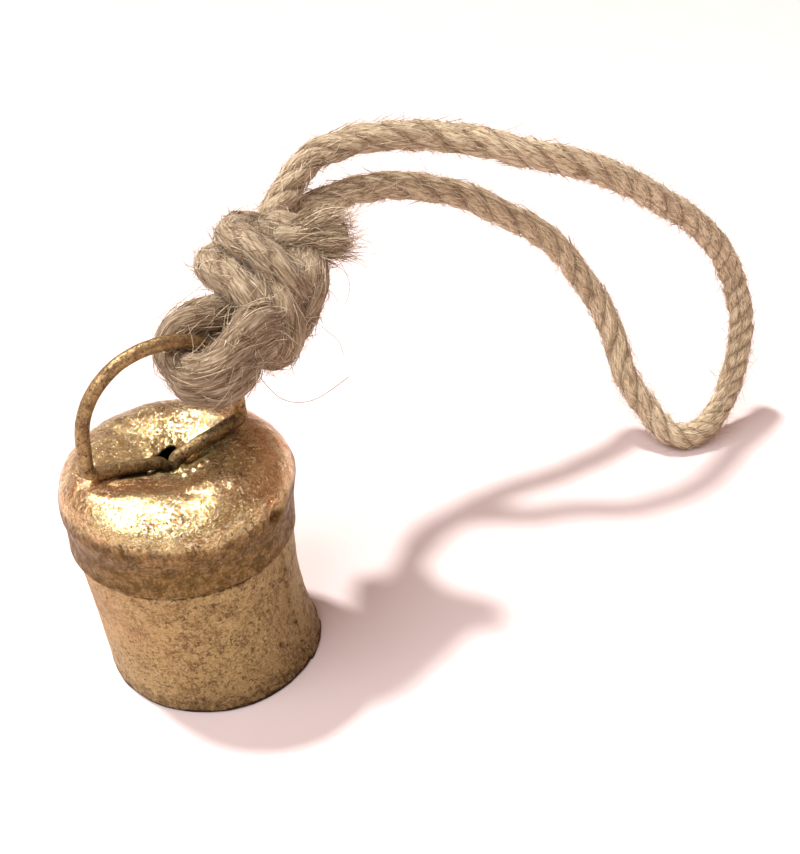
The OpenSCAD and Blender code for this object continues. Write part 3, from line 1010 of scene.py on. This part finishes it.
DENT_AT, DENT_ALONG = np.array([17.9, -10.6, 41.8]), unit(np.array([0.80, 0.35, 0.48]))
BRAZE_LUMPS = [
    ((2.4, -4.6, 47.2), 0.9), ((1.0, -6.0, 47.4), 0.7), ((3.6, -3.2, 47.6), 0.7), ((4.8, -2.2, 48.0), 0.55),
]


def dent_and_lip(p):
    """The dent at the right of the shoulder, and the ridge pushed up round it."""
    rel = p - DENT_AT
    along = rel @ DENT_ALONG
    away = np.linalg.norm(rel - along[..., None] * DENT_ALONG, axis=-1)
    dent = np.exp(-(along / 2.7) ** 2 - (away / 1.4) ** 2)
    lip = np.exp(-(along / 3.0) ** 2 - ((away - 2.1) / 0.7) ** 2)
    return dent, lip


def cap_relief(p, lip, dent):
    """How far each point of the cap's outside is beaten in or out."""
    top = ramp(p[..., 2], SKIRT_Z - 2, SKIRT_Z + 3)
    layers = enumerate([(13, 0.45), (5, 0.24), (1.9, 0.10)])
    move = sum(h * rough(p, size, 90 + i) for i, (size, h) in layers) * (0.25 + 0.75 * top)
    near_hole = gauss(p, (*HOLE_AT, 47.5), (6.5, 7.5, 5))
    rim = np.exp(-((from_hole(p) - 1.22) / 0.2) ** 2) * (p[..., 2] > 44)
    shoulder = np.exp(-((p[..., 2] - (SKIRT_Z + 1.2)) / 1.1) ** 2)
    burr = 1 - ramp(p[..., 2], BODY_H + 0.2, BODY_H + 0.9)
    move = move + 0.35 * near_hole * rough(p, 1.1, 55) + rim * (0.30 + 0.50 * noise(p, 0.9, 8))
    move = move - 1.15 * dent + 0.25 * lip - 0.12 * shoulder + 0.07 * burr
    return move + sum(0.7 * gauss(p, centre, (size, size, 1.6)) for centre, size in BRAZE_LUMPS)


def build_cap(material):
    """The beaten dome with its skirt, wavy at the lower edge."""
    outside, outward = cap_rows(0.0)
    inside, _ = cap_rows(SHEET_T)
    dent, lip = dent_and_lip(outside)
    move = cap_relief(outside, lip, dent)[..., None] * outward
    outside, inside = outside + move, inside + 0.8 * move
    wavy = 0.22 * rough(outside[:1], 6.0, 13) * (1 - ramp(outside[..., 2], BODY_H, BODY_H + 3))
    outside[..., 2] += wavy
    inside[..., 2] += wavy
    cap, rows = shell_object("bell_cap", outside, inside)
    paint_cap(cap, rows, lip)
    return finished(cap, "bell", "cap_brass", material, "cap")


def paint_cap(cap, p, lip):
    """Rust at edges, the hole and the dent; painted shadow by the wires; a duller skirt with painted shade;
    copper on the shoulders.
    """
    x, y, z = p[..., 0], p[..., 1], p[..., 2]
    inner = np.repeat((np.arange(len(p)) >= len(lip))[:, None], p.shape[1], 1)
    edge = 0.25 * ramp(z, BODY_H + 0.3, BODY_H + 0.6) * (1 - ramp(z, BODY_H + 0.6, BODY_H + 1.6))
    skirt = 0.24 * (1 - ramp(z, SKIRT_Z - 1, SKIRT_Z + 2))
    hole = 0.9 * (1 - ramp(from_hole(p), 1.0, 1.3)) * (z > 43)
    along, across = (p - BAIL_AT) @ ALONG, (p - BAIL_AT) @ ACROSS
    # Painted shadow of the wire's runs on the cap, on the side away from the sun; black where strongest.
    beside = np.exp(-((across - 1.7) / 1.1) ** 2) * (1 - ramp(np.abs(along), 9, 15)) * (z > 43)
    wire_shadow = beside * np.where(along < 0, 3.2, 2.0) * (0.8 + 0.4 * rough(p, 1.5, 84))
    dented = 0.5 * np.pad(lip, ((0, len(p) - len(lip)), (0, 0)))
    paint(cap, "rust_and_shade", np.maximum.reduce([edge, skirt, hole, wire_shadow, 0.8 * inner, dented]))
    # A duller finish with painted shade under the shoulder, up to just above its widest point.
    line_z = WIDEST_Z + 2.3 + 1.2 * rough(p, 4.0, 77)
    paint(cap, "dull_and_shade", (1 - ramp(z, line_z - 2.2, line_z + 1.8)) * ramp(z, BODY_H - 0.3, BODY_H + 0.1))
    left = ramp(-(x - CAP_X) - 0.35 * y, 10, 19)
    right = ramp((x - CAP_X) + 0.45 * y, 7, 17) * ramp(z, SKIRT_Z, WIDEST_Z + 4)
    band = gauss(p, (-5, -11.0, 48.5), (12, 3.2, 2.4))
    paint(cap, "copper", np.clip(0.5 * left + 0.85 * right + 1.0 * band, 0, 1))


def build_seam(material):
    """The thin dark bead under the skirt's edge."""
    n = 256
    a = circle(n)
    section = [(0.02, 0.0), (0.02, -0.36), (0.20, -0.24), (0.38, -0.12), (0.42, -0.01)]
    rings = []
    for out, up in section:
        r = NECK_R + out
        p = np.stack([CAP_X + r * np.cos(a), r * np.sin(a), BODY_H + up + 0 * a], -1)
        wobble = 0.10 * noise(p, 1.6, 44) * (up < -0.1)
        rings.append(p - wobble[..., None] * Z)
    rows = np.concatenate(rings)
    seam = mesh_object("bell_seam", rows.reshape(-1, 3), grid_faces(len(rows), n, close_rows=True))
    paint(seam, "rust_and_shade", 2.2)
    return finished(seam, "bell", "body_brass", material, "seam_braze")


# ---- bail ----

WIRE_STEP = 0.301


def in_bail_plane(points):
    """Points given as (along the bail, height), in space."""
    p = np.asarray(points, float)
    return BAIL_AT + p[:, :1] * ALONG + p[:, 1:2] * Z


def rounded(points, bends):
    """A bent wire's middle line in its own plane, each corner rounded by its own radius."""
    line = [np.array(points[0], float)]
    for a, b, c, bend in zip(points, points[1:], points[2:], bends):
        a, b, c = np.array(a, float), np.array(b, float), np.array(c, float)
        u, v = unit(b - a), unit(c - b)
        turn = math.atan2(u[0] * v[1] - u[1] * v[0], u @ v)
        side = 1 if turn > 0 else -1
        start = b - u * bend * math.tan(abs(turn) / 2)
        centre = start + side * bend * np.array([-u[1], u[0]])
        begin = math.atan2(*(start - centre)[::-1])
        steps = max(6, int(abs(turn) * bend * 2))
        for k in range(steps + 1):
            w = begin + turn * k / steps
            line.append(centre + bend * np.array([math.cos(w), math.sin(w)]))
    line.append(np.array(points[-1], float))
    return line


def build_bail(material):
    """One wire: eye, end, run, foot, arch, foot, run, end and tuck."""
    eye = [[EYE_X + EYE_R * math.cos(w), EYE_Z + EYE_R * math.sin(w)]
           for w in np.radians(np.arange(480, 189, -10))]
    corners = [
        (-END_X, EYE_Z), (-END_X, RUN_Z), (-FOOT_X, FOOT_Z), (-ARCH_R, ARCH_Z + ARCH_R),
        (ARCH_R, ARCH_Z + ARCH_R), (FOOT_X, FOOT_Z), (END_X, RUN_Z), (END_X, TUCK_Z), (TUCK_X, TUCK_Z),
    ]
    bends = [1.5, 1.6, ARCH_R, ARCH_R, 1.6, 1.5, 1.5]
    flat = np.array(eye + rounded(corners, bends))
    flat = flat[np.concatenate([[True], np.linalg.norm(np.diff(flat, axis=0), axis=1) > 0.05])]
    line = Line(spread_evenly(in_bail_plane(flat), WIRE_STEP))

    def flatten(s, a):
        """Slightly oval all along, and thicker where the beaten wire leaves the hole."""
        return (1 + 0.05 * np.cos(2 * a + 0.13 * s)) * (1 + 0.16 * ramp(s, 22, 27))

    bail = wire_object("bell_bail", line, WIRE_R, 24, wobble=0.05, size=2.2, seed=23, flatten=flatten)
    z = np.array([v.co.z for v in bail.data.vertices]) / MM
    paint(bail, "rust_and_shade", np.clip(0.55 * (1 - ramp(z, 47.5, 50)) + 0.15, 0, 1))
    paint(bail, "copper", 0.12 * ramp(z, 48, 60))
    return finished(bail, "bell", "bail_wire", material, "bail")


def blob(centre, size, seed, rows=20, n=28):
    """A rough lump as rows of points."""
    t = np.linspace(0, math.pi, rows)[:, None]
    a = circle(n)
    v = np.stack([np.sin(t) * np.cos(a), np.sin(t) * np.sin(a), np.cos(t) + 0 * a], -1)
    return np.array(centre) + v * np.array(size) * (1 + 0.28 * rough(v * 3, 1.6, seed))[..., None]


def build_braze(material):
    """Two lumps of filler that hold the wire's runs to the cap."""
    middle = BAIL_AT + (RUN_Z - 0.5) * Z
    lumps = [blob(middle + side * 4.4 * ALONG, (1.6, 1.4, 1.2), 61 + k) for k, side in enumerate((-1, 1))]
    braze = joined("bell_braze", lumps)
    paint(braze, "rust_and_shade", 0.35)
    paint(braze, "copper", 0.4)
    return finished(braze, "bell", "cap_brass", material, "bail_braze")


# ---- clapper ----

def turned(name, outline, centre, seed, n=48, wobble=0.06):
    """A turned and hammered piece round an upright line, closed at both ends."""
    a = circle(n)
    o = np.array(outline)
    p = np.stack([o[:, :1] * np.cos(a), o[:, :1] * np.sin(a), o[:, 1:] + 0 * a], -1) + np.array(centre)
    grow = wobble * rough(p, 2.0, seed) * (o[:, :1] > 0.05)
    p = p + grow[..., None] * outwards(a)
    return mesh_object(name, p.reshape(-1, 3), tube_faces(len(o), n))


def ring_line(centre, r, e1, e2, start=0.0, sweep=TURN):
    """Points round a circle, or part of one, in the plane of two directions."""
    count = max(24, int(sweep * r / 0.25))
    w = start + np.linspace(0, sweep, count + 1)[:, None]
    return centre + r * (np.cos(w) * e1 + np.sin(w) * e2)


def build_clapper(material):
    """The link, the rod with its eye, the bob and its washer, all under the bail's eye."""
    hang = BAIL_AT + EYE_X * ALONG
    ring = Line(ring_line(hang + LINK_Z * Z, LINK_R, ACROSS, Z), True)
    link = wire_object("clapper_link", ring, LINK_WIRE_R, 18, wobble=0.04, size=1.5, seed=31)
    finished(link, "link", "dark_iron", material, "hanger_link")

    eye = ring_line(hang + ROD_EYE_Z * Z, ROD_EYE_R, ALONG, Z, -math.pi / 2, TURN * 0.97)
    shank = hang + np.linspace(ROD_END_Z, ROD_EYE_Z - ROD_EYE_R - 0.2, 60)[:, None] * Z
    whole = Line(np.vstack([shank, eye[2:]]))
    rod = wire_object("clapper_shank", whole, ROD_R, 18, wobble=0.05, size=1.5, seed=32)
    finished(rod, "clapper", "dark_iron", material, "clapper_rod")

    t = np.radians(np.linspace(-86, 86, 40))
    outline = np.stack([BOB_R * np.cos(t) ** 0.9, BOB_Z + (BOB_R - 0.1) * np.sin(t)], 1)
    bob = turned("clapper_ball", outline, hang, 33, wobble=0.10)
    finished(bob, "clapper", "dark_iron", material, "clapper_bob")

    w, h, round_by = WASHER_R, WASHER_T, 0.15
    outline = [(0.2, 0.0), (w - round_by, 0.0), (w, 0.12), (w, h - round_by), (w - round_by, h - 0.02),
               (0.2, h - 0.02)]
    washer = turned("clapper_washer", [(r, WASHER_Z + z) for r, z in outline], hang, 34, wobble=0.04)
    finished(washer, "clapper", "dark_iron", material, "bob_washer")


# ---- stage ----

FLOOR_HALF, FLOOR_POINTS, FLOOR_DROP = 5.0, 41, 0.00002
SUN_FROM, SUN_POWER, SUN_SPREAD, SUN_COLOUR = (-0.36, 0.2, 0.91), 3.4, 5.0, (1.0, 0.99, 0.97)
SOFT_AT, SOFT_AIM, SOFT_SIZE = (-0.34, -0.38, 0.75), (0, 0, 0.03), (0.86, 0.50)
SOFT_POWER, SOFT_COLOUR = 7.6, (0.95, 0.97, 1.0)
LOW_SKY, HIGH_SKY = (0.02, (0.215, 0.140, 0.110, 1)), (0.75, (0.40, 0.245, 0.185, 1))
BACKDROP = (1.0, 0.84, 0.79, 1)


def add_light(name, kind, towards, colour, power, **ways):
    """A light that shines from the side that it is turned towards."""
    light = bpy.data.lights.new(name, kind)
    light.color, light.energy = colour, power
    for key, value in ways.items():
        setattr(light, key, value)
    lamp = placed(name, light)
    lamp.rotation_mode = "QUATERNION"
    lamp.rotation_quaternion = Vector(towards).to_track_quat("Z", "Y")
    return lamp


def build_stage():
    """A pale floor, a high sun on the left and a little behind, and a large soft light at the front left."""
    side = np.linspace(-FLOOR_HALF, FLOOR_HALF, FLOOR_POINTS)
    x, y = np.meshgrid(side, side)
    points = np.stack([x, y, 0 * x - FLOOR_DROP], -1).reshape(-1, 3) / MM
    floor = mesh_object("floor", points, grid_faces(FLOOR_POINTS, FLOOR_POINTS, wrap=False))
    floor.data.materials.append(pale_floor())
    add_light("key", "SUN", SUN_FROM, SUN_COLOUR, SUN_POWER, angle=math.radians(SUN_SPREAD))
    soft = add_light("front", "AREA", Vector(SOFT_AT) - Vector(SOFT_AIM), SOFT_COLOUR, SOFT_POWER,
                     shape="RECTANGLE", size=SOFT_SIZE[0], size_y=SOFT_SIZE[1])
    soft.location = SOFT_AT
    build_sky()
    bpy.context.scene.view_settings.view_transform = "Standard"


def build_sky():
    """A dim warm sky, brighter higher up; the camera sees a plain pale backdrop in its place."""
    world = bpy.data.worlds.new("world")
    bpy.context.scene.world = world
    world.use_nodes = True
    nodes, join = world.node_tree.nodes, world.node_tree.links.new
    back = nodes["Background"]
    place = nodes.new("ShaderNodeTexCoord")
    split = nodes.new("ShaderNodeSeparateXYZ")
    blend = nodes.new("ShaderNodeValToRGB")
    seen = nodes.new("ShaderNodeLightPath")
    shown = nodes.new("ShaderNodeMixRGB")
    shown.inputs[2].default_value = BACKDROP
    for stop, (position, colour) in zip(blend.color_ramp.elements, (LOW_SKY, HIGH_SKY)):
        stop.position, stop.color = position, colour
    join(place.outputs["Generated"], split.inputs[0])
    join(split.outputs["Z"], blend.inputs[0])
    join(seen.outputs["Is Camera Ray"], shown.inputs[0])
    join(blend.outputs[0], shown.inputs[1])
    join(shown.outputs[0], back.inputs[0])
    back.inputs[1].default_value = 1.0


def build_bell():
    """The metal parts and their finishes."""
    body_brass = aged_brass("body_brass", **BODY_BRASS)
    cap_brass = aged_brass("cap_brass", **CAP_BRASS)
    build_body(body_brass)
    build_cap(cap_brass)
    build_seam(body_brass)
    build_bail(aged_brass("wire_brass", **WIRE_BRASS))
    build_braze(cap_brass)
    build_clapper(dark_iron())


make_camera()
build_rope()
build_bell()
build_stage()
